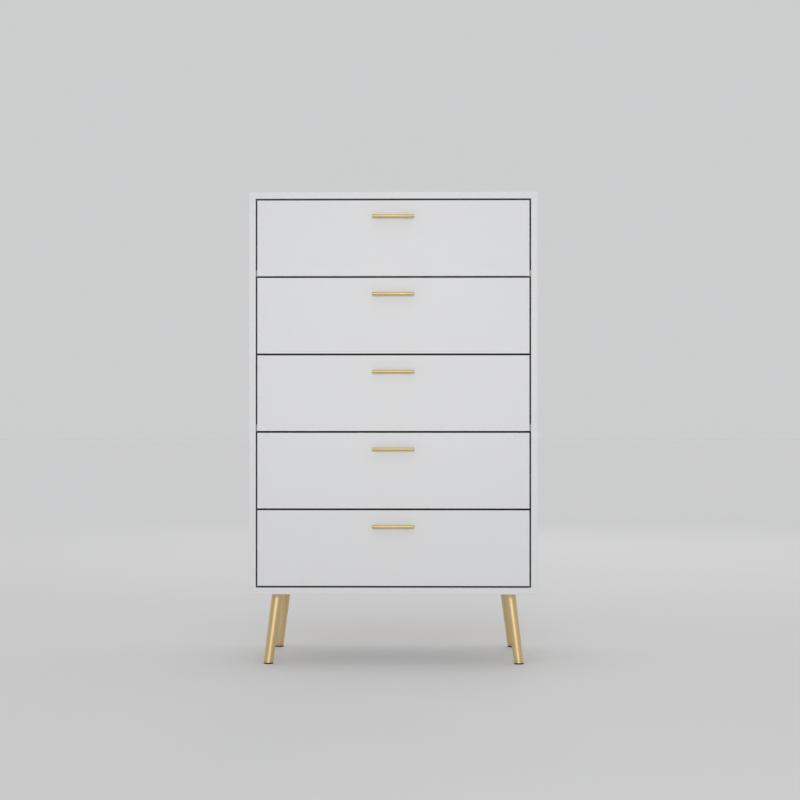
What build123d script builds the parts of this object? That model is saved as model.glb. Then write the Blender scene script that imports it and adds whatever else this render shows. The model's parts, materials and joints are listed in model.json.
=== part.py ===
from build123d import *
import os

# A tall chest of five drawers: a board carcass on four splayed round metal legs, flush
# inset drawer fronts with one bar handle each, and drawer boxes on telescopic slides.
# Millimetres, +Z up. The fronts face -Y, and +X is the right-hand side seen from there.
# The origin is on the floor, under the middle of the footprint taken over the handles.

# Overall size
BODY_WIDTH = 700.0
BODY_DEPTH = 400.0
OVERALL_HEIGHT = 1150.0
LEG_HEIGHT = 174.0

# Boards and their joints
BOARD = 16.0
EDGE_RADIUS = 0.6
BACK_THICKNESS = 3.0
BACK_INSET = 10.0
BACK_GROOVE_DEPTH = 6.0
GROOVE_PLAY = 0.2
RAIL_DEPTH = 70.0
RAIL_SETBACK = 1.0

# Drawers
DRAWER_COUNT = 5
FRONT_GAP = 4.5
FRONT_SIDE_GAP = 4.0
BOX_THICKNESS = 12.0
BOX_HEIGHT = 130.0
BOX_LIFT = 20.0
BOX_LENGTH = 350.0
BOX_EDGE_RADIUS = 1.5
HOUSING_DEPTH = 5.0
BACK_HOUSING_DEPTH = 4.0
HOUSING_PLAY = 0.1
BOTTOM_THICKNESS = 3.0
BOTTOM_HEIGHT = 8.0
BOTTOM_GROOVE_DEPTH = 5.0
BOTTOM_END_PLAY = 0.5

# Handles
HANDLE_LENGTH = 102.0
HANDLE_DIAMETER = 8.0
HANDLE_REACH = 16.0
HANDLE_DROP = 39.5
HANDLE_POST_DIAMETER = 6.0
HANDLE_POST_SPACING = 64.0
HANDLE_END_CHAMFER = 0.5
HANDLE_SCREW_RADIUS = 2.0
HANDLE_SCREW_ENGAGEMENT = 8.0
HANDLE_SCREW_HEAD_RADIUS = 4.0
HANDLE_SCREW_HEAD_HEIGHT = 2.4

# Telescopic ball-bearing slides, with sizes across the gap from the cabinet side inwards
SLIDE_THICKNESS = 12.7
SLIDE_LENGTH = 350.0
SLIDE_SHEET = 1.2
SLIDE_BEND_RADIUS = 2.0
SLIDE_LEVEL = 45.0
SLIDE_START = 1.0
OUTER_MEMBER = {"web": 0.0, "tip": 10.5, "height": 45.0}
MIDDLE_MEMBER = {"web": 2.8, "tip": 11.2, "height": 37.0}
INNER_MEMBER = {"web": SLIDE_THICKNESS, "tip": 5.6, "height": 28.0}
SLIDE_SCREW_STEPS = (35.0, 175.0, 315.0)
SLIDE_SCREW_RADIUS = 1.75
SLIDE_SCREW_LENGTH = 10.0
SLIDE_SCREW_HEAD_RADIUS = 3.5
SLIDE_SCREW_HEAD_HEIGHT = 1.2

# Cam fittings and dowels that hold the carcass boards together
CAM_RADIUS = 7.4
CAM_DEPTH = 12.0
CAM_POCKET_RADIUS = 7.5
CAM_POCKET_DEPTH = 12.6
CAM_SETBACK = 34.0
CAM_FACE_SINK = 0.4
CAM_SLOT_LENGTH = 8.0
CAM_SLOT_WIDTH = 1.6
CAM_SLOT_DEPTH = 2.0
CAM_MOUTH_RADIUS = 3.9
CAM_MOUTH_END = 36.0
BOLT_THREAD_RADIUS = 2.5
BOLT_THREAD_LENGTH = 11.0
BOLT_SHANK_RADIUS = 3.5
BOLT_NECK_RADIUS = 2.0
BOLT_HEAD_RADIUS = 3.2
BOLT_SHANK_END = 24.0
BOLT_HEAD_START = 31.0
BOLT_LENGTH = 35.0
BOLT_BORE_RADIUS = 4.0
DOWEL_RADIUS = 4.0
DOWEL_SHORT_END = 10.0
DOWEL_LONG_END = 20.0
BORE_PLAY = 0.1
BORE_END_PLAY = 0.5
PANEL_CAM_INSET = 50.0
PANEL_DOWEL_INSET = 82.0
RAIL_CAM_INSET = 20.0
RAIL_DOWEL_INSET = 50.0

# Legs: round tubes that taper and lean outwards towards the floor
LEG_TOP_DIAMETER = 27.5
LEG_FOOT_DIAMETER = 23.0
LEG_WALL = 1.5
LEG_CAP = 4.0
LEG_TOP_INSET = 64.5
LEG_FOOT_INSET = 43.0
GLIDE_HEIGHT = 3.0
GLIDE_STEM_RADIUS = 7.0
GLIDE_STEM_HEIGHT = 12.0
GLIDE_EDGE_RADIUS = 0.6
STUD_RADIUS = 4.0
STUD_IN_LEG = 12.0
STUD_IN_BOARD = 13.0
INSERT_RADIUS = 6.0
INSERT_LENGTH = 13.5

# Worked-out places
half_width = BODY_WIDTH / 2
half_opening = half_width - BOARD
front_y = HANDLE_REACH - (BODY_DEPTH + HANDLE_REACH) / 2
back_y = front_y + BODY_DEPTH
top_under = OVERALL_HEIGHT - BOARD
bottom_over = LEG_HEIGHT + BOARD
opening_height = top_under - bottom_over
front_height = (opening_height - (DRAWER_COUNT + 1) * FRONT_GAP) / DRAWER_COUNT
front_pitch = front_height + FRONT_GAP
front_half = half_opening - FRONT_SIDE_GAP
front_rear_y = front_y + BOARD
rail_y = front_rear_y + RAIL_SETBACK
back_panel_y = back_y - BACK_INSET - BACK_THICKNESS
box_half = half_opening - SLIDE_THICKNESS
box_inner_half = box_half - BOX_THICKNESS
box_end_y = front_rear_y + BOX_LENGTH
slide_y = front_rear_y + SLIDE_START
bar_y = front_y - HANDLE_REACH + HANDLE_DIAMETER / 2

os.makedirs("parts", exist_ok=True)


def drawer_bottom_edge(number):
    """The height of the lower edge of a drawer's front. Drawer 1 is at the top."""
    return top_under - number * front_pitch


def box_floor(number):
    """The height of the lower edge of a drawer's box."""
    return drawer_bottom_edge(number) + BOX_LIFT


def slide_height(number):
    """The height of the centre line of a drawer's slides."""
    return box_floor(number) + SLIDE_LEVEL


def save(piece, name):
    piece.part.label = name
    export_step(piece.part, f"parts/{name}.step")


def slab(x, y, z, mode=Mode.ADD):
    """A rectangular block, given its low and high values along each axis."""
    with BuildSketch(Plane.XY.offset(z[0])) as outline:
        with Locations(((x[0] + x[1]) / 2, (y[0] + y[1]) / 2)):
            Rectangle(x[1] - x[0], y[1] - y[0])
    extrude(outline.sketch, amount=z[1] - z[0], mode=mode)


def rod(plane, radius, start, end, mode=Mode.ADD):
    """A round bar along a plane's normal, between two distances from the plane."""
    with BuildSketch(plane.offset(start)) as outline:
        Circle(radius)
    extrude(outline.sketch, amount=end - start, mode=mode)


def bore(plane, radius, start, end):
    rod(plane, radius, start, end, mode=Mode.SUBTRACT)


# ---- Carcass joints -------------------------------------------------------------------
# Each joint is a plane on the contact face. Its normal points into the board that is
# met end on, and its x direction points out of the face that the cam is turned from.


def panel_joints(side, at_top, insets):
    """Joints between a side panel and the top or bottom panel."""
    height = top_under if at_top else bottom_over
    normal = (0, 0, -1) if at_top else (0, 0, 1)
    centre_x = side * (half_width - BOARD / 2)
    depths = (front_y + insets, back_y - insets)
    return [Plane(origin=(centre_x, y, height), x_dir=(-side, 0, 0), z_dir=normal) for y in depths]


def rail_joint(side, number, inset):
    """The joint between a side panel and the end of the rail behind a drawer front."""
    origin = (side * half_opening, rail_y + inset, drawer_bottom_edge(number) + BOARD / 2)
    return Plane(origin=origin, x_dir=(0, 0, -1), z_dir=(-side, 0, 0))


RAIL_DRAWERS = {"upper_rail": 1, "lower_rail": 3}
SIDES = {"left": -1, "right": 1}


def cam_plane(joint):
    """The plane of the cam's open face, with its normal pointing out of the board."""
    centre = joint.origin + joint.z_dir * CAM_SETBACK + joint.x_dir * (BOARD / 2)
    return Plane(origin=centre, x_dir=joint.z_dir, z_dir=joint.x_dir)


def bore_for_thread(joint):
    bore(joint, BOLT_THREAD_RADIUS + BORE_PLAY, -BOLT_THREAD_LENGTH - BORE_END_PLAY, 0)


def bore_for_cam(joint):
    bore(joint, BOLT_BORE_RADIUS, 0, CAM_SETBACK)
    bore(cam_plane(joint), CAM_POCKET_RADIUS, -CAM_POCKET_DEPTH, 0)


def bore_for_dowel(joint, long_end):
    """Half of a dowel's hole: the long end is in the board that is met end on."""
    radius = DOWEL_RADIUS + BORE_PLAY
    if long_end:
        bore(joint, radius, 0, DOWEL_LONG_END + BORE_END_PLAY)
    else:
        bore(joint, radius, -DOWEL_SHORT_END - BORE_END_PLAY, 0)


def all_joints(panel_inset, rail_inset):
    """Every joint of the carcass at the given distances from the boards' edges."""
    joints = []
    for side in SIDES.values():
        joints += panel_joints(side, True, panel_inset)
        joints += panel_joints(side, False, panel_inset)
        joints += [rail_joint(side, number, rail_inset) for number in RAIL_DRAWERS.values()]
    return joints


# ---- Carcass boards -------------------------------------------------------------------

groove_y = (back_panel_y, back_panel_y + BACK_THICKNESS + GROOVE_PLAY)


def make_end_panel(name, at_top):
    """The top or bottom panel, which runs over the ends of both side panels."""
    low = top_under if at_top else LEG_HEIGHT
    inner = top_under if at_top else bottom_over
    reach = half_opening + BACK_GROOVE_DEPTH
    groove_z = sorted((inner, inner + BACK_GROOVE_DEPTH * (1 if at_top else -1)))
    with BuildPart() as panel:
        slab((-half_width, half_width), (front_y, back_y), (low, low + BOARD))
        fillet(panel.edges(), EDGE_RADIUS)
        slab((-reach, reach), groove_y, groove_z, mode=Mode.SUBTRACT)
        for side in SIDES.values():
            for joint in panel_joints(side, at_top, PANEL_CAM_INSET):
                bore_for_thread(joint)
            for joint in panel_joints(side, at_top, PANEL_DOWEL_INSET):
                bore_for_dowel(joint, long_end=False)
        if not at_top:
            for x, y in leg_places(LEG_TOP_INSET):
                axis = Plane(origin=(x, y, LEG_HEIGHT))
                bore(axis, INSERT_RADIUS + BORE_PLAY, 0, INSERT_LENGTH + BORE_END_PLAY)
    save(panel, name)


def make_side_panel(name, side):
    """A side panel, which stands between the top and bottom panels."""
    faces = sorted((side * half_width, side * half_opening))
    groove_x = sorted((side * half_opening, side * (half_opening + BACK_GROOVE_DEPTH)))
    with BuildPart() as panel:
        slab(faces, (front_y, back_y), (bottom_over, top_under))
        fillet(panel.edges().filter_by(Axis.Z), EDGE_RADIUS)
        slab(groove_x, groove_y, (bottom_over, top_under), mode=Mode.SUBTRACT)
        for at_top in (True, False):
            for joint in panel_joints(side, at_top, PANEL_CAM_INSET):
                bore_for_cam(joint)
            for joint in panel_joints(side, at_top, PANEL_DOWEL_INSET):
                bore_for_dowel(joint, long_end=True)
        for number in RAIL_DRAWERS.values():
            bore_for_thread(rail_joint(side, number, RAIL_CAM_INSET))
            bore_for_dowel(rail_joint(side, number, RAIL_DOWEL_INSET), long_end=False)
        for number in range(1, DRAWER_COUNT + 1):
            for axis in outer_screw_axes(side, number):
                bore(axis, SLIDE_SCREW_RADIUS + BORE_PLAY, 0, SLIDE_SCREW_LENGTH + BORE_END_PLAY)
    save(panel, name)


def make_rail(name, number):
    """A flat rail between the side panels, just behind the lower edge of a drawer front."""
    low = drawer_bottom_edge(number)
    with BuildPart() as rail:
        slab((-half_opening, half_opening), (rail_y, rail_y + RAIL_DEPTH), (low, low + BOARD))
        fillet(rail.edges().filter_by(Axis.X), EDGE_RADIUS)
        for side in SIDES.values():
            bore_for_cam(rail_joint(side, number, RAIL_CAM_INSET))
            bore_for_dowel(rail_joint(side, number, RAIL_DOWEL_INSET), long_end=True)
    save(rail, name)


def make_back_panel():
    """The thin back, which sits in a groove in the four carcass boards."""
    grip = BACK_GROOVE_DEPTH - BOTTOM_END_PLAY
    reach = half_opening + grip
    depth = (back_panel_y, back_panel_y + BACK_THICKNESS)
    with BuildPart() as back_panel:
        slab((-reach, reach), depth, (bottom_over - grip, top_under + grip))
    save(back_panel, "back_panel")


# ---- Carcass fasteners ----------------------------------------------------------------


def make_cam_bolts():
    """Turned bolts: a thread for one board, then a shank, neck and head for the cam."""
    with BuildPart() as cam_bolts:
        for joint in all_joints(PANEL_CAM_INSET, RAIL_CAM_INSET):
            rod(joint, BOLT_THREAD_RADIUS, -BOLT_THREAD_LENGTH, 0)
            rod(joint, BOLT_SHANK_RADIUS, 0, BOLT_SHANK_END)
            rod(joint, BOLT_NECK_RADIUS, BOLT_SHANK_END, BOLT_HEAD_START)
            rod(joint, BOLT_HEAD_RADIUS, BOLT_HEAD_START, BOLT_LENGTH)
    save(cam_bolts, "cam_bolts")


def make_cam_discs():
    """Cams: discs with a side mouth for the bolt's head and a crossed driver slot."""
    with BuildPart() as cam_discs:
        for joint in all_joints(PANEL_CAM_INSET, RAIL_CAM_INSET):
            face = cam_plane(joint).offset(-CAM_FACE_SINK)
            rod(face, CAM_RADIUS, -CAM_DEPTH, 0)
            with BuildSketch(face) as cross:
                Rectangle(CAM_SLOT_LENGTH, CAM_SLOT_WIDTH)
                Rectangle(CAM_SLOT_WIDTH, CAM_SLOT_LENGTH)
            extrude(cross.sketch, amount=-CAM_SLOT_DEPTH, mode=Mode.SUBTRACT)
            bore(joint, CAM_MOUTH_RADIUS, CAM_SETBACK - CAM_RADIUS - BORE_END_PLAY, CAM_MOUTH_END)
    save(cam_discs, "cam_discs")


def make_dowels():
    with BuildPart() as dowels:
        for joint in all_joints(PANEL_DOWEL_INSET, RAIL_DOWEL_INSET):
            rod(joint, DOWEL_RADIUS, -DOWEL_SHORT_END, DOWEL_LONG_END)
    save(dowels, "dowels")


# ---- Legs -----------------------------------------------------------------------------


def leg_places(inset):
    """The four points at one distance in from the carcass's sides, front and back."""
    across = half_width - inset
    depths = (front_y + inset, back_y - inset)
    return [(x, y) for y in depths for x in (-across, across)]


LEG_NAMES = ("leg_front_left", "leg_front_right", "leg_back_left", "leg_back_right")


def make_legs():
    """Tapered tubes with a solid cap at the top that holds the stud."""
    feet = leg_places(LEG_FOOT_INSET)
    tops = leg_places(LEG_TOP_INSET)
    for name, foot, top in zip(LEG_NAMES, feet, tops):
        length = LEG_HEIGHT - GLIDE_HEIGHT
        share = (length - LEG_CAP - STUD_IN_LEG) / length
        cap = (foot[0] + (top[0] - foot[0]) * share, foot[1] + (top[1] - foot[1]) * share)
        foot_radius = LEG_FOOT_DIAMETER / 2
        top_radius = LEG_TOP_DIAMETER / 2
        cap_radius = foot_radius + (top_radius - foot_radius) * share
        with BuildPart() as leg:
            with BuildSketch(Plane.XY.offset(GLIDE_HEIGHT)):
                with Locations(foot):
                    Circle(foot_radius)
            with BuildSketch(Plane.XY.offset(LEG_HEIGHT)):
                with Locations(top):
                    Circle(top_radius)
            loft()
            with BuildSketch(Plane.XY.offset(GLIDE_HEIGHT)):
                with Locations(foot):
                    Circle(foot_radius - LEG_WALL)
            with BuildSketch(Plane.XY.offset(GLIDE_HEIGHT + length * share)):
                with Locations(cap):
                    Circle(cap_radius - LEG_WALL)
            loft(mode=Mode.SUBTRACT)
            stud_axis = Plane(origin=(*top, LEG_HEIGHT))
            bore(stud_axis, STUD_RADIUS + BORE_PLAY, -STUD_IN_LEG - BORE_END_PLAY, 0)
        save(leg, name)


def make_leg_studs():
    with BuildPart() as leg_studs:
        for x, y in leg_places(LEG_TOP_INSET):
            rod(Plane(origin=(x, y, LEG_HEIGHT)), STUD_RADIUS, -STUD_IN_LEG, STUD_IN_BOARD)
    save(leg_studs, "leg_studs")


def make_leg_inserts():
    """Threaded sleeves let into the underside of the bottom panel."""
    with BuildPart() as leg_inserts:
        for x, y in leg_places(LEG_TOP_INSET):
            axis = Plane(origin=(x, y, LEG_HEIGHT))
            rod(axis, INSERT_RADIUS, 0, INSERT_LENGTH)
            bore(axis, STUD_RADIUS + BORE_PLAY, 0, STUD_IN_BOARD + BORE_PLAY)
    save(leg_inserts, "leg_inserts")


def make_leg_glides():
    """Floor glides with a stem that plugs into the end of the tube."""
    with BuildPart() as leg_glides:
        for x, y in leg_places(LEG_FOOT_INSET):
            axis = Plane(origin=(x, y, 0))
            rod(axis, LEG_FOOT_DIAMETER / 2, 0, GLIDE_HEIGHT)
            rod(axis, GLIDE_STEM_RADIUS, GLIDE_HEIGHT, GLIDE_HEIGHT + GLIDE_STEM_HEIGHT)
        fillet(leg_glides.edges().group_by(Axis.Z)[0], GLIDE_EDGE_RADIUS)
    save(leg_glides, "leg_glides")


# ---- Slides ---------------------------------------------------------------------------


def slide_x(side, inwards):
    """The x of a point between a cabinet side and the drawer, measured inwards."""
    return side * (half_opening - inwards)


def channel(member, side, number):
    """One slide member: a rolled channel that runs from front to back."""
    web = slide_x(side, member["web"])
    tip = slide_x(side, member["tip"])
    inside = web + SLIDE_SHEET * (1 if tip > web else -1)
    middle = slide_height(number)
    half = member["height"] / 2
    inner_half = half - SLIDE_SHEET
    corners = [
        (web, middle - half),
        (tip, middle - half),
        (tip, middle - inner_half),
        (inside, middle - inner_half),
        (inside, middle + inner_half),
        (tip, middle + inner_half),
        (tip, middle + half),
        (web, middle + half),
    ]
    with BuildSketch(Plane.XZ.offset(-slide_y)) as profile:
        with BuildLine():
            Polyline(corners, close=True)
        make_face()
        bends = profile.vertices().group_by(Axis.X)[0 if tip > web else -1]
        fillet(bends, SLIDE_BEND_RADIUS)
    extrude(profile.sketch, amount=-SLIDE_LENGTH)


def screw_axes(side, number, inwards, outward_normal):
    """Axes along X for the three screws of one slide member."""
    x = slide_x(side, inwards)
    normal = (side * outward_normal, 0, 0)
    height = slide_height(number)
    return [Plane(origin=(x, slide_y + step, height), z_dir=normal) for step in SLIDE_SCREW_STEPS]


def outer_screw_axes(side, number):
    """Axes that start on the cabinet side's inner face and point into the side panel."""
    return screw_axes(side, number, 0, 1)


def inner_screw_axes(side, number):
    """Axes that start on the drawer side's outer face and point into the drawer side."""
    return screw_axes(side, number, SLIDE_THICKNESS, -1)


def slide_screw(axis):
    """A wafer-head screw whose head bears on the slide's web."""
    rod(axis, SLIDE_SCREW_RADIUS, -SLIDE_SHEET, SLIDE_SCREW_LENGTH)
    rod(axis, SLIDE_SCREW_HEAD_RADIUS, -SLIDE_SHEET - SLIDE_SCREW_HEAD_HEIGHT, -SLIDE_SHEET)


def make_cabinet_slides():
    with BuildPart() as cabinet_slides:
        for number in range(1, DRAWER_COUNT + 1):
            for side in SIDES.values():
                channel(OUTER_MEMBER, side, number)
                for axis in outer_screw_axes(side, number):
                    bore(axis, SLIDE_SCREW_RADIUS + BORE_PLAY, -SLIDE_SHEET, 0)
    save(cabinet_slides, "cabinet_slides")


def make_cabinet_slide_screws():
    with BuildPart() as cabinet_slide_screws:
        for number in range(1, DRAWER_COUNT + 1):
            for side in SIDES.values():
                for axis in outer_screw_axes(side, number):
                    slide_screw(axis)
    save(cabinet_slide_screws, "cabinet_slide_screws")


def make_middle_slides(number):
    with BuildPart() as middle_slides:
        for side in SIDES.values():
            channel(MIDDLE_MEMBER, side, number)
    save(middle_slides, f"middle_slides_{number}")


def make_drawer_slides(number):
    with BuildPart() as drawer_slides:
        for side in SIDES.values():
            channel(INNER_MEMBER, side, number)
            for axis in inner_screw_axes(side, number):
                bore(axis, SLIDE_SCREW_RADIUS + BORE_PLAY, -SLIDE_SHEET, 0)
    save(drawer_slides, f"drawer_slides_{number}")


# ---- Drawers --------------------------------------------------------------------------


def handle_screw_axes(number):
    """Axes that start on the front's face and point out of it, one for each post."""
    height = drawer_bottom_edge(number) + front_height - HANDLE_DROP
    across = (-HANDLE_POST_SPACING / 2, HANDLE_POST_SPACING / 2)
    return [Plane(origin=(x, front_y, height), z_dir=(0, -1, 0)) for x in across]


def bottom_groove(number):
    low = box_floor(number) + BOTTOM_HEIGHT
    return (low, low + BOTTOM_THICKNESS + GROOVE_PLAY)


def make_drawer_front(number):
    """The front, housed at the back for the drawer's sides and grooved for its bottom."""
    low = drawer_bottom_edge(number)
    floor = box_floor(number)
    housing_y = (front_rear_y - HOUSING_DEPTH - HOUSING_PLAY, front_rear_y)
    groove_start = front_rear_y - BOTTOM_GROOVE_DEPTH
    with BuildPart() as drawer_front:
        slab((-front_half, front_half), (front_y, front_rear_y), (low, low + front_height))
        fillet(drawer_front.edges(), EDGE_RADIUS)
        for side in SIDES.values():
            outer = side * (box_half + HOUSING_PLAY)
            inner = side * (box_inner_half - HOUSING_PLAY)
            housing_z = (floor - HOUSING_PLAY, floor + BOX_HEIGHT + HOUSING_PLAY)
            slab(sorted((outer, inner)), housing_y, housing_z, mode=Mode.SUBTRACT)
        slab((-box_half, box_half), (groove_start, front_rear_y), bottom_groove(number), mode=Mode.SUBTRACT)
        for axis in handle_screw_axes(number):
            bore(axis, HANDLE_SCREW_RADIUS + BORE_PLAY, -BOARD, 0)
    save(drawer_front, f"drawer_front_{number}")


def make_drawer_sides(number):
    """The two sides, grooved for the bottom and housed near the rear for the back."""
    floor = box_floor(number)
    run = (front_rear_y - HOUSING_DEPTH, box_end_y)
    back_run = (box_end_y - 2 * BOX_THICKNESS - HOUSING_PLAY, box_end_y - BOX_THICKNESS + HOUSING_PLAY)
    with BuildPart() as drawer_sides:
        for side in SIDES.values():
            faces = sorted((side * box_half, side * box_inner_half))
            slab(faces, run, (floor, floor + BOX_HEIGHT))
        fillet(drawer_sides.edges().group_by(Axis.Z)[-1].filter_by(Axis.Y), BOX_EDGE_RADIUS)
        for side in SIDES.values():
            groove_x = sorted((side * box_inner_half, side * (box_inner_half + BOTTOM_GROOVE_DEPTH)))
            slab(groove_x, run, bottom_groove(number), mode=Mode.SUBTRACT)
            housing_x = sorted((side * box_inner_half, side * (box_inner_half + BACK_HOUSING_DEPTH)))
            slab(housing_x, back_run, (floor, floor + BOX_HEIGHT), mode=Mode.SUBTRACT)
            for axis in inner_screw_axes(side, number):
                bore(axis, SLIDE_SCREW_RADIUS + BORE_PLAY, 0, SLIDE_SCREW_LENGTH + BORE_END_PLAY)
    save(drawer_sides, f"drawer_sides_{number}")


def make_drawer_back(number):
    """The back, held in the sides' housings and grooved for the bottom."""
    floor = box_floor(number)
    reach = box_inner_half + BACK_HOUSING_DEPTH - HOUSING_PLAY
    depth = (box_end_y - 2 * BOX_THICKNESS, box_end_y - BOX_THICKNESS)
    groove = (depth[0], depth[0] + BOTTOM_GROOVE_DEPTH)
    with BuildPart() as drawer_back:
        slab((-reach, reach), depth, (floor, floor + BOX_HEIGHT))
        fillet(drawer_back.edges().group_by(Axis.Z)[-1].filter_by(Axis.X), BOX_EDGE_RADIUS)
        slab((-reach, reach), groove, bottom_groove(number), mode=Mode.SUBTRACT)
    save(drawer_back, f"drawer_back_{number}")


def make_drawer_bottom(number):
    """The thin bottom, slid into the grooves on all four sides."""
    grip = BOTTOM_GROOVE_DEPTH - BOTTOM_END_PLAY
    reach = box_inner_half + grip
    low = bottom_groove(number)[0]
    depth = (front_rear_y - grip, box_end_y - 2 * BOX_THICKNESS + grip)
    with BuildPart() as drawer_bottom:
        slab((-reach, reach), depth, (low, low + BOTTOM_THICKNESS))
    save(drawer_bottom, f"drawer_bottom_{number}")


def make_handle(number):
    """A round bar on two posts, tapped from the back for its screws."""
    height = drawer_bottom_edge(number) + front_height - HANDLE_DROP
    bar_axis = Plane(origin=(0, bar_y, height), z_dir=(1, 0, 0))
    with BuildPart() as handle:
        rod(bar_axis, HANDLE_DIAMETER / 2, -HANDLE_LENGTH / 2, HANDLE_LENGTH / 2)
        chamfer(handle.edges().filter_by(GeomType.CIRCLE), HANDLE_END_CHAMFER)
        for axis in handle_screw_axes(number):
            rod(axis, HANDLE_POST_DIAMETER / 2, 0, front_y - bar_y)
            bore(axis, HANDLE_SCREW_RADIUS + BORE_PLAY, 0, HANDLE_SCREW_ENGAGEMENT + BORE_END_PLAY)
    save(handle, f"handle_{number}")


def make_drawer_screws(number):
    """The two handle screws, put in from inside, and the six slide screws."""
    with BuildPart() as drawer_screws:
        for axis in handle_screw_axes(number):
            rod(axis, HANDLE_SCREW_RADIUS, -BOARD, HANDLE_SCREW_ENGAGEMENT)
            rod(axis, HANDLE_SCREW_HEAD_RADIUS, -BOARD - HANDLE_SCREW_HEAD_HEIGHT, -BOARD)
        for side in SIDES.values():
            for axis in inner_screw_axes(side, number):
                slide_screw(axis)
    save(drawer_screws, f"drawer_screws_{number}")


# ---- The whole chest ------------------------------------------------------------------

make_end_panel("top_panel", at_top=True)
make_end_panel("bottom_panel", at_top=False)
for side_name, side_sign in SIDES.items():
    make_side_panel(f"side_panel_{side_name}", side_sign)
for rail_name, rail_drawer in RAIL_DRAWERS.items():
    make_rail(rail_name, rail_drawer)
make_back_panel()
make_cam_bolts()
make_cam_discs()
make_dowels()
make_legs()
make_leg_studs()
make_leg_inserts()
make_leg_glides()
make_cabinet_slides()
make_cabinet_slide_screws()
for drawer in range(1, DRAWER_COUNT + 1):
    make_drawer_front(drawer)
    make_drawer_sides(drawer)
    make_drawer_back(drawer)
    make_drawer_bottom(drawer)
    make_handle(drawer)
    make_drawer_screws(drawer)
    make_drawer_slides(drawer)
    make_middle_slides(drawer)
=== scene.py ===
import json
import math

import bmesh
import bpy
from mathutils import Matrix, Vector


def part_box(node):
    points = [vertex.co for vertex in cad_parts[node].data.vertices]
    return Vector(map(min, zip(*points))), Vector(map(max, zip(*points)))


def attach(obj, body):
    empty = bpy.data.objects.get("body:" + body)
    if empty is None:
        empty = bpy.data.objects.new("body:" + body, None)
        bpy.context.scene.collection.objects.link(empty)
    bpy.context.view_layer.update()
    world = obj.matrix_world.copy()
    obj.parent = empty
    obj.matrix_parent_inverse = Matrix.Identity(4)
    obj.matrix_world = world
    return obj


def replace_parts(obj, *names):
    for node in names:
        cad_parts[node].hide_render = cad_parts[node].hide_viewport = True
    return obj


# The chest stands on the floor at the origin, with its drawer fronts towards -Y. Metres.
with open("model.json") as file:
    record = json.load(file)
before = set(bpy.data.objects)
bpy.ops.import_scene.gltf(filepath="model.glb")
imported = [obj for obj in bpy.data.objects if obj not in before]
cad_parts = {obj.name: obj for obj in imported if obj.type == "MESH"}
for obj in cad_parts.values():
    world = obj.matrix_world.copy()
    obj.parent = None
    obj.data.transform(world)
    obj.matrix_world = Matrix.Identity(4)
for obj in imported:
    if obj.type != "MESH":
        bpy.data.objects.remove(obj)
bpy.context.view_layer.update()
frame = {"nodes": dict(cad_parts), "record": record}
nodes = frame["nodes"]
MM = 0.001

DRAWERS = range(1, 6)
FRONT_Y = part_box("drawer_front_1")[0].y
FRONT_REAR_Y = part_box("drawer_front_1")[1].y
HALF_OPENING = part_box("side_panel_right")[0].x


# ---- Materials ------------------------------------------------------------------------

MIX_FACTOR = 0
MIX_COLOURS = (6, 7)
MIX_RESULT = 2


class Surface:
    """A node material round one Principled shader, with its textures in object space."""

    def __init__(self, name, **values):
        self.material = bpy.data.materials.new(name)
        self.material.use_nodes = True
        self.tree = self.material.node_tree
        self.shader = self.tree.nodes["Principled BSDF"]
        for key, value in values.items():
            self.shader.inputs[key.title()].default_value = value
        self.object_space = self.node("ShaderNodeTexCoord").outputs["Object"]

    def node(self, kind, sockets=None, **settings):
        made = self.tree.nodes.new(kind)
        for key, value in settings.items():
            setattr(made, key, value)
        for key, value in (sockets or {}).items():
            self.feed(made.inputs[key], value)
        return made

    def feed(self, socket, value):
        """Links a socket to another node's output, or gives it a constant."""
        if isinstance(value, bpy.types.NodeSocket):
            self.tree.links.new(value, socket)
        else:
            socket.default_value = value

    def noise(self, scale, stretch=(1, 1, 1), detail=3.0, roughness=0.5):
        """Noise from 0 to 1, drawn out along the axes whose stretch is small."""
        placed = self.node("ShaderNodeMapping", {"Vector": self.object_space, "Scale": stretch})
        sockets = {"Vector": placed.outputs[0], "Scale": scale, "Detail": detail, "Roughness": roughness}
        return self.node("ShaderNodeTexNoise", sockets).outputs["Fac"]

    def spread(self, value, low, high, low_in=0.3, high_in=0.7):
        """value, taken from its usual range to low..high."""
        sockets = {"Value": value, "From Min": low_in, "From Max": high_in, "To Min": low, "To Max": high}
        return self.node("ShaderNodeMapRange", sockets).outputs[0]

    def combine(self, operation, first, second):
        """A sum, a maximum or a comparison of two values."""
        return self.node("ShaderNodeMath", {0: first, 1: second}, operation=operation).outputs[0]

    def mix(self, factor, first, second):
        """A colour from first, where factor is 0, to second, where it is 1."""
        made = self.node("ShaderNodeMix", {MIX_FACTOR: factor}, data_type="RGBA")
        for socket, colour in zip(MIX_COLOURS, (first, second)):
            self.feed(made.inputs[socket], (*colour, 1) if isinstance(colour, tuple) else colour)
        return made.outputs[MIX_RESULT]

    def bump(self, height, depth, below=None):
        """Relief of that depth in metres, on top of an earlier bump."""
        sockets = {"Height": height, "Distance": depth, "Strength": 1.0}
        if below is not None:
            sockets["Normal"] = below
        return self.node("ShaderNodeBump", sockets).outputs[0]

    def use(self, **links):
        """Links the shader's inputs, and gives the finished material."""
        for key, value in links.items():
            self.tree.links.new(value, self.shader.inputs[key.replace("_", " ").title()])
        return self.material


def shade(colour, factor):
    """A colour made darker or lighter."""
    return tuple(part * factor for part in colour)


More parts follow.
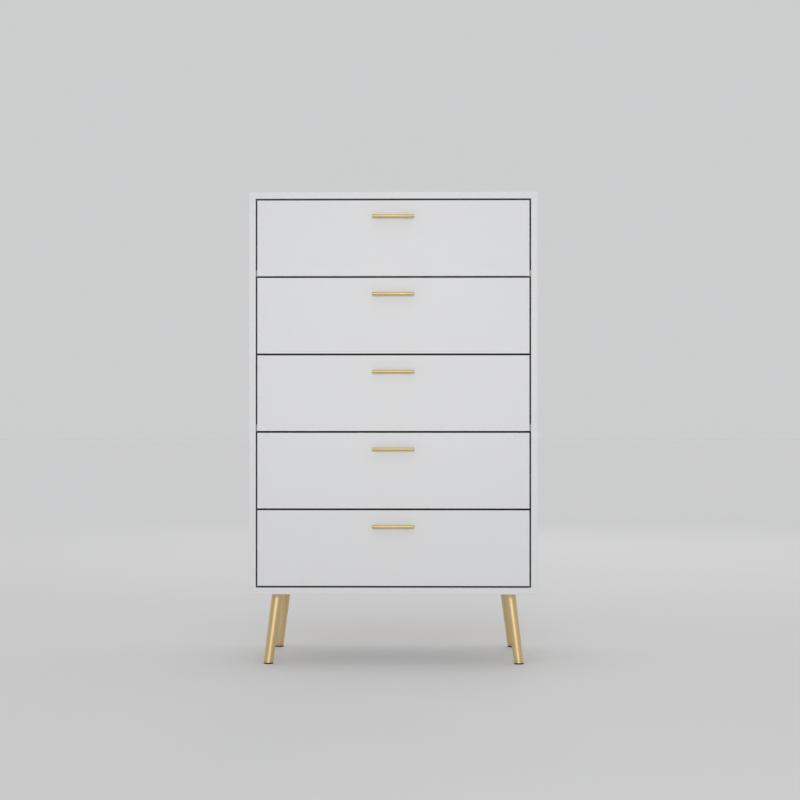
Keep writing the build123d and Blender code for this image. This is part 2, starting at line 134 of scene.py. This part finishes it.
def white_laminate():
    """Satin melamine: a very faint mottle, a soft orange peel and a fine pearl grain."""
    skin = Surface("white_laminate")
    colour = (0.83, 0.832, 0.84)
    mottle = skin.noise(3.0, detail=4.0)
    tone = skin.mix(skin.spread(mottle, 0, 1), shade(colour, 0.985), colour)
    rough = skin.spread(skin.noise(60.0, detail=5.0), 0.44, 0.48)
    peel = skin.bump(skin.noise(170.0, detail=2.0), 0.01 * MM)
    grain = skin.bump(skin.noise(1500.0, detail=2.0), 0.012 * MM, peel)
    return skin.use(base_color=tone, roughness=rough, normal=grain)


def drawer_foil():
    """Matt foil with a fine linen emboss."""
    skin = Surface("drawer_foil", roughness=0.5)
    colour = (0.78, 0.78, 0.775)
    mottle = skin.spread(skin.noise(5.0, detail=4.0), 0, 1)
    across = skin.noise(900.0, stretch=(1, 0.06, 1), detail=1.0)
    upright = skin.noise(900.0, stretch=(1, 1, 0.06), detail=1.0)
    weave = skin.combine("MAXIMUM", across, upright)
    tone = skin.mix(mottle, shade(colour, 0.96), colour)
    fine = skin.mix(skin.spread(weave, 0, 0.12), tone, shade(colour, 0.85))
    rough = skin.spread(skin.noise(40.0), 0.45, 0.58)
    return skin.use(base_color=fine, roughness=rough, normal=skin.bump(weave, 0.05 * MM))


def fibreboard():
    """Thin hardboard: white foil to the front and the raw brown screen side to the back."""
    skin = Surface("fibreboard", roughness=0.6)
    normal = skin.node("ShaderNodeNewGeometry").outputs["Normal"]
    facing = skin.node("ShaderNodeSeparateXYZ", {0: normal}).outputs["Y"]
    raw_side = skin.combine("GREATER_THAN", facing, 0.5)
    fibres = skin.noise(420.0, stretch=(0.25, 1, 1), detail=6.0, roughness=0.7)
    clouds = skin.noise(7.0, detail=5.0)
    brown = skin.mix(skin.spread(fibres, 0, 1), (0.20, 0.115, 0.058), (0.36, 0.235, 0.135))
    brown = skin.mix(skin.spread(clouds, 0, 0.45), brown, (0.27, 0.165, 0.09))
    white = skin.mix(skin.spread(clouds, 0, 1), (0.74, 0.74, 0.735), (0.78, 0.78, 0.775))
    tone = skin.mix(raw_side, white, brown)
    rough = skin.spread(fibres, 0.5, 0.75)
    return skin.use(base_color=tone, roughness=rough, normal=skin.bump(fibres, 0.06 * MM))


def brushed_gold():
    """Brushed gold-plated brass, with the brush lines along the bar."""
    skin = Surface("brushed_gold", metallic=1.0)
    lines = skin.noise(1300.0, stretch=(0.012, 1, 1), detail=3.0, roughness=0.6)
    cloud = skin.noise(20.0, stretch=(0.4, 1, 1))
    tone = skin.mix(skin.spread(lines, 0, 1), (0.66, 0.512, 0.225), (0.75, 0.588, 0.265))
    rough = skin.combine("ADD", skin.spread(lines, 0.38, 0.46), skin.spread(cloud, -0.01, 0.01))
    return skin.use(base_color=tone, roughness=rough, normal=skin.bump(lines, 0.012 * MM))


def satin_gold(name, rough_low, rough_high):
    """Gold-coloured leg tube: fine lines along the tube, and a few soft clouds."""
    skin = Surface(name, metallic=1.0)
    lines = skin.noise(700.0, stretch=(1, 1, 0.02), detail=4.0, roughness=0.65)
    cloud = skin.noise(30.0, stretch=(1, 1, 0.25), detail=4.0)
    tone = skin.mix(skin.spread(cloud, 0, 1), (0.80, 0.60, 0.32), (0.86, 0.67, 0.375))
    rough = skin.combine("ADD", skin.spread(lines, rough_low, rough_high), skin.spread(cloud, -0.015, 0.02))
    return skin.use(base_color=tone, roughness=rough, normal=skin.bump(lines, 0.015 * MM))


def zinc_plate():
    """Zinc-plated steel: fine lines and a faint spangle."""
    skin = Surface("zinc_plate", metallic=1.0)
    colour = (0.66, 0.665, 0.67)
    lines = skin.noise(900.0, detail=3.0)
    cells = {"Vector": skin.object_space, "Scale": 900.0}
    spangle = skin.node("ShaderNodeTexVoronoi", cells).outputs["Color"]
    bright = skin.mix(skin.spread(lines, 0, 1), shade(colour, 0.86), colour)
    tone = skin.mix(skin.spread(spangle, 0, 0.22, 0, 1), bright, (0.72, 0.74, 0.76))
    rough = skin.spread(lines, 0.26, 0.40)
    return skin.use(base_color=tone, roughness=rough, normal=skin.bump(lines, 0.02 * MM))


def black_slide_steel():
    """Rolled steel with a satin black electro-coat: faint rolling lines from front to back."""
    skin = Surface("black_slide_steel")
    lines = skin.noise(900.0, stretch=(1, 0.02, 1), detail=3.0)
    cloud = skin.noise(40.0, detail=3.0)
    tone = skin.mix(skin.spread(cloud, 0, 1), (0.016, 0.016, 0.018), (0.028, 0.028, 0.031))
    rough = skin.combine("ADD", skin.spread(lines, 0.34, 0.46), skin.spread(cloud, -0.03, 0.03))
    return skin.use(base_color=tone, roughness=rough, normal=skin.bump(lines, 0.015 * MM))


def cast_zinc():
    """Grey zinc casting with a grainy skin."""
    skin = Surface("cast_zinc", metallic=1.0, roughness=0.5)
    grain = skin.noise(900.0, detail=5.0, roughness=0.7)
    tone = skin.mix(skin.spread(grain, 0, 1), (0.34, 0.345, 0.35), (0.55, 0.555, 0.56))
    rough = skin.spread(grain, 0.42, 0.62)
    return skin.use(base_color=tone, roughness=rough, normal=skin.bump(grain, 0.06 * MM))


def moulded_plastic(name, colour):
    """Injection-moulded plastic with a fine spark-eroded grain."""
    skin = Surface(name, roughness=0.45)
    grain = skin.noise(1800.0, detail=3.0, roughness=0.7)
    tone = skin.mix(skin.spread(grain, 0, 1), colour, shade(colour, 1.8))
    rough = skin.spread(grain, 0.38, 0.58)
    return skin.use(base_color=tone, roughness=rough, normal=skin.bump(grain, 0.03 * MM))


def beech():
    """Beech dowel with its grain upright."""
    skin = Surface("beech", roughness=0.55)
    grain = skin.noise(260.0, stretch=(1, 1, 0.08), detail=5.0, roughness=0.6)
    tone = skin.mix(skin.spread(grain, 0, 1), (0.42, 0.25, 0.12), (0.62, 0.42, 0.23))
    return skin.use(base_color=tone, normal=skin.bump(grain, 0.06 * MM))


laminate = white_laminate()
foil = drawer_foil()
hardboard = fibreboard()
handle_gold = brushed_gold()
leg_gold = satin_gold("satin_gold", 0.44, 0.52)
ferrule_gold = satin_gold("polished_gold", 0.34, 0.42)
zinc = zinc_plate()
slide_black = black_slide_steel()
zamak = cast_zinc()
black = moulded_plastic("black_plastic", (0.012, 0.012, 0.013))
retainer_black = moulded_plastic("retainer_plastic", (0.03, 0.032, 0.035))
lever_grey = moulded_plastic("lever_plastic", (0.06, 0.062, 0.066))
dowel_wood = beech()

LOOK_OF_SLOT = {
    "white_board": laminate,
    "back_board": hardboard,
    "drawer_board": foil,
    "drawer_base_board": foil,
    "gold_leg": leg_gold,
    "gold_handle": handle_gold,
    "zinc_steel": zinc,
    "black_steel": slide_black,
    "cast_zinc": zamak,
    "dowel_wood": dowel_wood,
    "black_plastic": black,
}
for part in frame["record"]["subparts"]:
    mesh = nodes[part["node"]].data
    mesh.materials.clear()
    mesh.materials.append(LOOK_OF_SLOT[part["material_slot"]])


# ---- Mesh helpers ---------------------------------------------------------------------

SHARP_ANGLE = math.radians(32)


def quarter_turn(steps):
    """Evenly spaced angles from 0 to a right angle."""
    return [math.pi / 2 * step / steps for step in range(steps + 1)]


def add_loops(shape, loops, material=0):
    """A closed solid through loops of points that all have the same number of corners."""
    placed = [[shape.verts.new(point) for point in loop] for loop in loops]
    faces = [shape.faces.new(placed[0][::-1]), shape.faces.new(placed[-1])]
    count = len(placed[0])
    for low, high in zip(placed, placed[1:]):
        for step in range(count):
            after = (step + 1) % count
            faces.append(shape.faces.new((low[step], low[after], high[after], high[step])))
    for face in faces:
        face.material_index = material


def add_rings(shape, rings, normal, segments, material=0):
    """A closed body of revolution, or a leaning one: rings is a list of (centre, radius)."""
    normal = Vector(normal).normalized()
    across = normal.orthogonal().normalized()
    up = normal.cross(across)
    turns = [2 * math.pi * step / segments for step in range(segments)]
    spokes = [across * math.cos(turn) + up * math.sin(turn) for turn in turns]
    loops = [[Vector(centre) + spoke * radius for spoke in spokes] for centre, radius in rings]
    add_loops(shape, loops, material)


def rounded_ends(start, end, radius, edge, steps=4):
    """(distance, radius) pairs for a bar between start and end with rounded rims."""
    rim = [
        (edge * (1 - math.cos(turn)), radius - edge * (1 - math.sin(turn)))
        for turn in quarter_turn(steps)
    ]
    return [(start + d, r) for d, r in rim] + [(end - d, r) for d, r in reversed(rim)]


def linked(name, data):
    """A new object for some data, in the scene."""
    made = bpy.data.objects.new(name, data)
    bpy.context.scene.collection.objects.link(made)
    return made


def mesh_of(name, shape):
    """A mesh with the geometry of a bmesh, which is freed."""
    mesh = bpy.data.meshes.new(name)
    shape.to_mesh(mesh)
    shape.free()
    return mesh


def piece(name, shape, looks, body):
    """Turns a bmesh into a smooth-shaded object that rides on a body."""
    bmesh.ops.recalc_face_normals(shape, faces=shape.faces)
    mesh = mesh_of(name, shape)
    for look in looks:
        mesh.materials.append(look)
    mesh.polygons.foreach_set("use_smooth", [True] * len(mesh.polygons))
    mesh.set_sharp_from_angle(angle=SHARP_ANGLE)
    made = linked(name, mesh)
    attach(made, body)
    return made


def cut(solid, tool, operation):
    """The exact boolean of two bmeshes, as a new bmesh."""
    pair = [linked(label, mesh_of(label, shape)) for label, shape in (("solid", solid), ("tool", tool))]
    change = pair[0].modifiers.new("cut", "BOOLEAN")
    change.object = pair[1]
    change.operation = operation
    change.solver = "EXACT"
    bpy.context.view_layer.update()
    result = bmesh.new()
    result.from_object(pair[0], bpy.context.evaluated_depsgraph_get())
    for made in pair:
        mesh = made.data
        bpy.data.objects.remove(made)
        bpy.data.meshes.remove(mesh)
    return result


def joined(shapes):
    """One bmesh that holds a copy of each shape's geometry, all of which are freed."""
    whole = bmesh.new()
    for shape in shapes:
        mesh = mesh_of("joined", shape)
        whole.from_mesh(mesh)
        bpy.data.meshes.remove(mesh)
    return whole


# ---- Handles --------------------------------------------------------------------------

HANDLE_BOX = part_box("handle_1")
BAR_RADIUS = (HANDLE_BOX[1].z - HANDLE_BOX[0].z) / 2
BAR_Y = HANDLE_BOX[0].y + BAR_RADIUS
BAR_EDGE = 0.8 * MM
POST_RADIUS = 3.0 * MM
POST_X = 32 * MM
FLARE_LENGTH = 0.5 * MM
FLARE_WIDTH = 0.3 * MM
BAR_SEGMENTS = 96
POST_SEGMENTS = 48
ARC_STEPS = 5


def middle_height(node):
    """How high the middle of a CAD node lies."""
    low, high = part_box(node)
    return (low.z + high.z) / 2


def handle_shape(level):
    """A round bar on two posts that flare a little where they meet the front."""
    bar = bmesh.new()
    profile = rounded_ends(HANDLE_BOX[0].x, HANDLE_BOX[1].x, BAR_RADIUS, BAR_EDGE)
    add_rings(bar, [((x, BAR_Y, level), radius) for x, radius in profile], (1, 0, 0), BAR_SEGMENTS)
    foot = [
        (FRONT_Y - FLARE_LENGTH * (1 - math.cos(turn)), POST_RADIUS + FLARE_WIDTH * (1 - math.sin(turn)))
        for turn in quarter_turn(ARC_STEPS)
    ]
    posts = bmesh.new()
    for x in (-POST_X, POST_X):
        rings = [((x, y, level), radius) for y, radius in foot + [(BAR_Y, POST_RADIUS)]]
        add_rings(posts, rings, (0, -1, 0), POST_SEGMENTS)
    return cut(bar, posts, "UNION")


for number in DRAWERS:
    shape = handle_shape(middle_height(f"handle_{number}"))
    bar = piece(f"bar_handle_{number}", shape, [handle_gold], f"drawer_{number}")
    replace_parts(bar, f"handle_{number}")


# ---- Legs -----------------------------------------------------------------------------

LEG_FOOT_RADIUS = 11.5 * MM
LEG_TOP_RADIUS = 13.75 * MM
LEG_SEGMENTS = 72
TUBE_STEPS = 8
FERRULE = 4.5 * MM
FERRULE_SHOULDER = 0.5 * MM
TUBE_SHOULDER = 0.45 * MM
GROOVE_HALF_WIDTH = 0.15 * MM
GROOVE_DEPTH = 0.25 * MM
# The rolled rim, as (height, how far in).
RIM = ((0.0, 0.5 * MM), (0.12 * MM, 0.2 * MM), (0.35 * MM, 0.0))


def make_leg(node):
    """A leaning tapered tube with a rolled rim and a polished ferrule at the foot."""
    low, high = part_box(node)
    lean = Vector((math.copysign(1, low.x), math.copysign(1, low.y), 0))
    outer = Vector((high.x if lean.x > 0 else low.x, high.y if lean.y > 0 else low.y, low.z))
    inner = Vector((low.x if lean.x > 0 else high.x, low.y if lean.y > 0 else high.y, high.z))
    foot = outer - lean * LEG_FOOT_RADIUS
    top = inner + lean * LEG_TOP_RADIUS
    length = high.z - low.z

    def ring(height, inset=0.0):
        share = height / length
        radius = LEG_FOOT_RADIUS + (LEG_TOP_RADIUS - LEG_FOOT_RADIUS) * share
        return (foot.lerp(top, share), radius - inset)

    ferrule = [ring(height, inset) for height, inset in RIM]
    ferrule.append(ring(FERRULE - FERRULE_SHOULDER))
    ferrule.append(ring(FERRULE - GROOVE_HALF_WIDTH, GROOVE_DEPTH))
    tube = [ring(FERRULE + GROOVE_HALF_WIDTH, GROOVE_DEPTH), ring(FERRULE + TUBE_SHOULDER)]
    for step in range(1, TUBE_STEPS + 1):
        tube.append(ring(FERRULE + (length - FERRULE) * step / TUBE_STEPS))
    shape = bmesh.new()
    add_rings(shape, ferrule, (0, 0, 1), LEG_SEGMENTS, material=1)
    add_rings(shape, tube, (0, 0, 1), LEG_SEGMENTS)
    return piece(node.replace("leg_", "turned_leg_"), shape, [leg_gold, ferrule_gold], "carcass")


for node in ("leg_front_left", "leg_front_right", "leg_back_left", "leg_back_right"):
    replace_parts(make_leg(node), node)


# ---- Screws ---------------------------------------------------------------------------

SLIDE_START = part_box("middle_slides_1")[0].y
SLIDE_THICKNESS = 12.7 * MM
SHEET = 1.2 * MM
SCREW_SEGMENTS = 32
SCREW_STEPS = (35 * MM, 175 * MM, 315 * MM)
# Shares of the shank's radius: at the tip, where the tip ends and at the thread's root.
TIP_RADIUS = 0.25
TIP_LENGTH = 0.9
THREAD_ROOT = 0.78
# Shares of the head: its radius where it bears, and the part of both sizes that is domed.
BEARING = 0.96
DOME = 0.65
# The short neck between the thread and the head.
NECK = 0.01 * MM
# The driver's cross, in shares of the head's radius and height, and its narrowing to the tip.
CROSS_REACH = 0.62
CROSS_HALF_WIDTH = 0.13
CROSS_TOP = 1.2
CROSS_DEPTH = 0.5
CROSS_REACH_AT_TIP = 0.45
CROSS_WIDTH_AT_TIP = 0.78


def add_cross(shape, reach, half_width, top, bottom):
    """A cross-shaped plug that narrows downwards, as a driver's tip does."""
    loops = []
    for height, reach_share, width_share in ((bottom, CROSS_REACH_AT_TIP, CROSS_WIDTH_AT_TIP), (top, 1, 1)):
        long = reach * reach_share
        short = half_width * width_share
        corners = []
        for quarter in range(4):
            turn = Matrix.Rotation(math.pi / 2 * quarter, 2)
            corners += [turn @ Vector(corner) for corner in ((long, -short), (long, short), (short, short))]
        loops.append([(x, y, height) for x, y in corners])
    add_loops(shape, loops)


def screw_shape(head_radius, head_height, shank_radius, length, pitch):
    """A cross-recessed screw whose head bears on the plane z = 0 and whose tip points down."""
    root = shank_radius * THREAD_ROOT
    rings = [(-length, shank_radius * TIP_RADIUS), (-length + shank_radius * TIP_LENGTH, root)]
    for ridge in range(int((length - shank_radius) / pitch)):
        low = -length + shank_radius + ridge * pitch
        rings += [(low + pitch / 2, shank_radius), (low + pitch, root)]
    rings += [(-NECK, root), (0, head_radius * BEARING), (head_height * (1 - DOME), head_radius)]
    for turn in quarter_turn(ARC_STEPS)[1:]:
        height = head_height * (1 - DOME + DOME * math.sin(turn))
        rings.append((height, head_radius * (1 - DOME + DOME * math.cos(turn))))
    screw = bmesh.new()
    add_rings(screw, [((0, 0, height), radius) for height, radius in rings], (0, 0, 1), SCREW_SEGMENTS)
    reach = head_radius * CROSS_REACH
    half_width = head_radius * CROSS_HALF_WIDTH
    recess = bmesh.new()
    add_cross(recess, reach, half_width, head_height * CROSS_TOP, -head_height * CROSS_DEPTH)
    return cut(screw, recess, "DIFFERENCE")


def driven_in(shape, place, direction):
    """A copy of a screw, moved so that its head bears at place and its tip points along direction."""
    turned = Vector((0, 0, -1)).rotation_difference(Vector(direction)).to_matrix().to_4x4()
    made = shape.copy()
    bmesh.ops.transform(made, matrix=Matrix.Translation(place) @ turned, verts=made.verts)
    return made


def slide_level(number):
    return middle_height(f"middle_slides_{number}")


wafer_screw = screw_shape(
    head_radius=3.5 * MM, head_height=1.2 * MM, shank_radius=1.75 * MM, length=11.2 * MM, pitch=1.4 * MM
)
pan_screw = screw_shape(
    head_radius=4.0 * MM, head_height=2.4 * MM, shank_radius=2.0 * MM, length=24.0 * MM, pitch=0.8 * MM
)


def slide_screws(number, inwards, direction):
    """The screws of one pair of slides; their heads bear at a distance in from the cabinet sides."""
    made = []
    for side in (-1, 1):
        for step in SCREW_STEPS:
            place = (side * (HALF_OPENING - inwards), SLIDE_START + step, slide_level(number))
            made.append(driven_in(wafer_screw, place, (side * direction, 0, 0)))
    return made


cabinet_screws = []
for number in DRAWERS:
    cabinet_screws += slide_screws(number, SHEET, 1)
    screws = slide_screws(number, SLIDE_THICKNESS - SHEET, -1)
    for x in (-POST_X, POST_X):
        place = (x, FRONT_REAR_Y, middle_height(f"handle_{number}"))
        screws.append(driven_in(pan_screw, place, (0, -1, 0)))
    made = piece(f"cross_head_screws_{number}", joined(screws), [zinc], f"drawer_{number}")
    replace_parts(made, f"drawer_screws_{number}")
made = piece("cabinet_wafer_screws", joined(cabinet_screws), [zinc], "carcass")
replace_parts(made, "cabinet_slide_screws")
wafer_screw.free()
pan_screw.free()


# ---- Ball retainers in the telescopic slides --------------------------------------------

RETAINERS = (
    # name, ball radius, height of the balls, the row's and the strip's distance in from the
    # cabinet side, thickness of the strip, start of the row, look
    ("outer", 1.3 * MM, 19.9 * MM, 7.4 * MM, 2.5 * MM, 0.2 * MM, SLIDE_START + 184 * MM, black),
    ("inner", 1.55 * MM, 15.65 * MM, 8.6 * MM, 4.75 * MM, 0.4 * MM, SLIDE_START + 12 * MM, retainer_black),
)
BALLS_IN_ROW = 9
BALL_STEP = 17 * MM
STRIP_MARGIN = 4 * MM
STRIP_LENGTH = (BALLS_IN_ROW - 1) * BALL_STEP + 2 * STRIP_MARGIN


def add_ball(shape, centre, radius):
    bmesh.ops.create_icosphere(shape, subdivisions=2, radius=radius, matrix=Matrix.Translation(centre))


def add_strip(shape, side, inwards, arm_end, thickness, height, start):
    """The retainer: a thin channel whose two arms carry the balls."""
    web = side * (HALF_OPENING - inwards)
    inner_web = side * (HALF_OPENING - inwards - thickness)
    tip = side * (HALF_OPENING - arm_end)
    half = thickness / 2
    outline = [
        (web, -height - half),
        (tip, -height - half),
        (tip, -height + half),
        (inner_web, -height + half),
        (inner_web, height - half),
        (tip, height - half),
        (tip, height + half),
        (web, height + half),
    ]
    add_loops(shape, [[(x, y, z) for x, z in outline] for y in (start, start + STRIP_LENGTH)])


for number in DRAWERS:
    level = Vector((0, 0, slide_level(number)))
    body = f"slide_pair_{number}"
    for name, radius, height, row_in, strip_in, thickness, start, look in RETAINERS:
        strips = bmesh.new()
        balls = bmesh.new()
        for side in (-1, 1):
            arm_end = row_in + radius
            add_strip(strips, side, strip_in, arm_end, thickness, height, start - STRIP_MARGIN)
            for row in (-height, height):
                for step in range(BALLS_IN_ROW):
                    add_ball(balls, (side * (HALF_OPENING - row_in), start + step * BALL_STEP, row), radius)
        for shape in (strips, balls):
            bmesh.ops.translate(shape, verts=shape.verts, vec=level)
        piece(f"{name}_ball_retainers_{number}", strips, [look], body)
        piece(f"{name}_slide_balls_{number}", balls, [zinc], body)


# ---- Release levers on the slides --------------------------------------------------------

LEVER_START = SLIDE_START + 104 * MM
LEVER_LENGTH = 58 * MM
LEVER_WIDTH = 4.2 * MM
LEVER_SWING = 6.5 * MM
LEVER_THICKNESS = 1.8 * MM
LEVER_STEPS = 24
# The band's ends: the share of its width at the very end, and how fast it widens from there.
LEVER_END = 0.35
LEVER_ROUNDING = 4
PIVOT_SHARE = 0.3
# The rivet's head, as (height above the lever, radius).
RIVET_HEAD = ((-0.1 * MM, 2.4 * MM), (0.35 * MM, 2.4 * MM), (0.7 * MM, 1.9 * MM))
RIVET_SEGMENTS = 24
DRAWER_WEB = SLIDE_THICKNESS - SHEET


def lever_place(share, level):
    """The middle of the band, as (y, z), at a share of its length."""
    return LEVER_START + LEVER_LENGTH * share, level + LEVER_SWING * math.cos(math.pi * share)


def lever_outline(level):
    """A band that swings from high to low in one S curve, with rounded ends."""
    upper = []
    lower = []
    for step in range(LEVER_STEPS + 1):
        share = step / LEVER_STEPS
        y, middle = lever_place(share, level)
        nearest_end = min(share, 1 - share)
        half = LEVER_WIDTH / 2 * min(1.0, LEVER_END + LEVER_ROUNDING * math.sqrt(nearest_end))
        upper.append((y, middle + half))
        lower.append((y, middle - half))
    return upper + lower[::-1]


for number in DRAWERS:
    levers = bmesh.new()
    rivets = bmesh.new()
    outline = lever_outline(slide_level(number))
    pivot_y, pivot_z = lever_place(PIVOT_SHARE, slide_level(number))
    for side in (-1, 1):
        seat = side * (HALF_OPENING - DRAWER_WEB)
        face = seat + side * LEVER_THICKNESS
        add_loops(levers, [[(x, y, z) for y, z in outline] for x in (seat, face)])
        rings = [((face + side * height, pivot_y, pivot_z), radius) for height, radius in RIVET_HEAD]
        add_rings(rivets, rings, (side, 0, 0), RIVET_SEGMENTS)
    piece(f"release_levers_{number}", levers, [lever_grey], f"drawer_{number}")
    piece(f"lever_rivets_{number}", rivets, [zinc], f"drawer_{number}")


# ---- Floor, lights and camera -----------------------------------------------------------

FLOOR_RADIUS = 60
CAMERA_DISTANCE = 4.04
LAMP_DISTANCE = 5.8


def studio_floor():
    """Pale floor that grows lighter far away, so that it meets the background without a line."""
    skin = Surface("studio_floor", roughness=0.7)
    cloud = skin.noise(1.2, detail=3.0)
    near = skin.mix(skin.spread(cloud, 0, 1), (0.765, 0.763, 0.757), (0.785, 0.783, 0.777))
    length = skin.node("ShaderNodeVectorMath", {0: skin.object_space}, operation="LENGTH")
    far = skin.spread(length.outputs["Value"], 0, 1, 1.0, 7.0)
    tone = skin.mix(far, near, (0.86, 0.86, 0.86))
    return skin.use(base_color=tone, roughness=skin.spread(cloud, 0.65, 0.8))


floor_shape = bmesh.new()
bmesh.ops.create_circle(floor_shape, cap_ends=True, segments=128, radius=FLOOR_RADIUS)
floor = linked("floor", mesh_of("floor", floor_shape))
floor.data.materials.append(studio_floor())


def aimed_lamp(name, kind, place, aim, power):
    """A lamp at place that shines towards aim. Its data comes back, to be shaped."""
    data = bpy.data.lights.new(name, kind)
    data.energy = power
    lamp = linked(name, data)
    lamp.location = place
    lamp.rotation_euler = (Vector(aim) - Vector(place)).to_track_quat("-Z", "Y").to_euler()
    return data


def softbox(name, place, aim, power, width, height):
    data = aimed_lamp(name, "AREA", place, aim, power)
    data.shape = "RECTANGLE"
    data.size = width
    data.size_y = height


def studio_sky(front, back, overhead):
    """An even backdrop behind the chest, a dimmer one in front of it and a soft ceiling over both."""
    world = bpy.data.worlds.new("studio")
    world.use_nodes = True
    tree = world.node_tree
    direction = tree.nodes.new("ShaderNodeTexCoord").outputs["Generated"]
    split = tree.nodes.new("ShaderNodeSeparateXYZ")
    tree.links.new(direction, split.inputs[0])

    def ramp(value, start, end, low, high):
        """Eases from low to high while value goes from start to end."""
        made = tree.nodes.new("ShaderNodeMapRange")
        made.interpolation_type = "SMOOTHSTEP"
        tree.links.new(value, made.inputs["Value"])
        for key, amount in (("From Min", start), ("From Max", end), ("To Min", low), ("To Max", high)):
            if isinstance(amount, bpy.types.NodeSocket):
                tree.links.new(amount, made.inputs[key])
            else:
                made.inputs[key].default_value = amount
        return made.outputs[0]

    wall = ramp(split.outputs["Y"], -0.6, 0.6, front, back)
    strength = ramp(split.outputs["Z"], 0.27, 0.85, wall, overhead)
    background = tree.nodes["Background"]
    background.inputs["Color"].default_value = (0.985, 0.99, 1.0, 1)
    tree.links.new(strength, background.inputs["Strength"])
    return world


# A soft spotlight from behind the camera keeps the handles' shadows close to them.
spot = aimed_lamp("front_spot", "SPOT", (0.05, FRONT_Y - LAMP_DISTANCE, 1.9), (0, 0, 0.72), 210)
spot.shadow_soft_size = 0.5
spot.spot_size = math.radians(23)
spot.spot_blend = 1.0
softbox("wide_front_light", (0, FRONT_Y - LAMP_DISTANCE, 1.5), (0, 0, 0.6), 40, width=5.0, height=1.2)
softbox("back_light", (0.8, 4.4, 3.0), (0, 0, 0.7), 16, width=3.0, height=1.8)
bpy.context.scene.world = studio_sky(front=0.38, back=0.62, overhead=0.80)
bpy.context.scene.view_settings.view_transform = "Standard"

lens = bpy.data.cameras.new("camera")
lens.sensor_width = 36.0
lens.lens = 75.0
lens.shift_y = 0.0296
camera = linked("camera", lens)
camera.location = (0.065, FRONT_Y - CAMERA_DISTANCE, 0.588)
camera.rotation_euler = (math.radians(90), 0, math.radians(0.69))
bpy.context.scene.camera = camera
